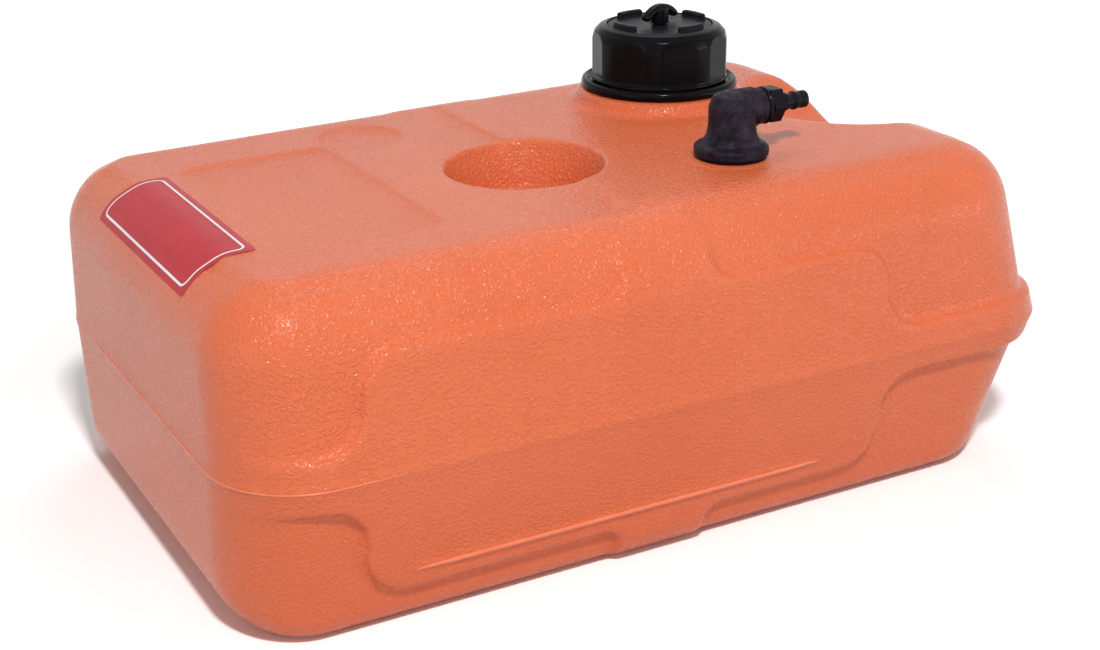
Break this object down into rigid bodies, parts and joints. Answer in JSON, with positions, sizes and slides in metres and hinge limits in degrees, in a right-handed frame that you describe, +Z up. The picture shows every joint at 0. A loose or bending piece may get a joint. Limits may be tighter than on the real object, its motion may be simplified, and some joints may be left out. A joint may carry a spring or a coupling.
{
  "type": "outboard fuel tank",
  "caption": "Portable moulded fuel tank with carry collar, vented screw cap, and a pick-up elbow with hose barb.",
  "frame": {"origin": "middle of the footprint of the tank, on the ground it stands on", "axes": "+X along the tank towards the end with the scoop, where the hose leaves; +Y across it to the far side from the panel with the finger grip; +Z up"},
  "size_m": [0.4132, 0.2642, 0.2027],
  "materials": {
    "tank": "satin",
    "cap": "satin",
    "fitting": "matte",
    "seal": "satin",
    "steel": "satin"
  },
  "bodies": {
    "tank": {"tank_shell": "tank", "pickup_elbow": "fitting", "pickup_gasket": "seal", "hose_barb": "fitting", "barb_seal": "seal", "pickup_tube": "fitting", "strainer_cage": "fitting", "strainer_mesh": "steel"},
    "neck_collar": {"neck_collar": "cap"},
    "cap_gasket": {"cap_gasket": "seal"},
    "filler_cap": {"filler_cap": "cap", "cap_disc": "cap"},
    "vent_seal": {"vent_seal": "seal"},
    "vent_knob": {"vent_knob": "cap", "vent_clip": "steel"}
  },
  "joints": [
    {"name": "cap_lift_off", "type": "slide", "parent": "tank", "child": "neck_collar", "axis": [0, 0, 1], "range_m": [0, 0.09]},
    {"name": "cap_rise", "type": "slide", "parent": "neck_collar", "child": "cap_gasket", "axis": [0, 0, 1], "range_m": [0, 0.0101]},
    {"name": "cap_turn", "type": "hinge", "parent": "cap_gasket", "child": "filler_cap", "pos_m": [0.089, 0.0485, 0.184], "axis": [0, 0, 1], "range_deg": [0, 720]},
    {"name": "vent_rise", "type": "slide", "parent": "filler_cap", "child": "vent_seal", "axis": [0, 0, 1], "range_m": [0, 0.0025]},
    {"name": "vent_turn", "type": "hinge", "parent": "vent_seal", "child": "vent_knob", "pos_m": [0.089, 0.0485, 0.192], "axis": [0, 0, 1], "range_deg": [0, 720]}
  ],
  "couplings": [
    {"joint": "cap_rise", "follows": "cap_turn", "m_per_rad": 0.00079577},
    {"joint": "vent_turn", "follows": "vent_rise", "rad_per_m": 5026.5}
  ]
}
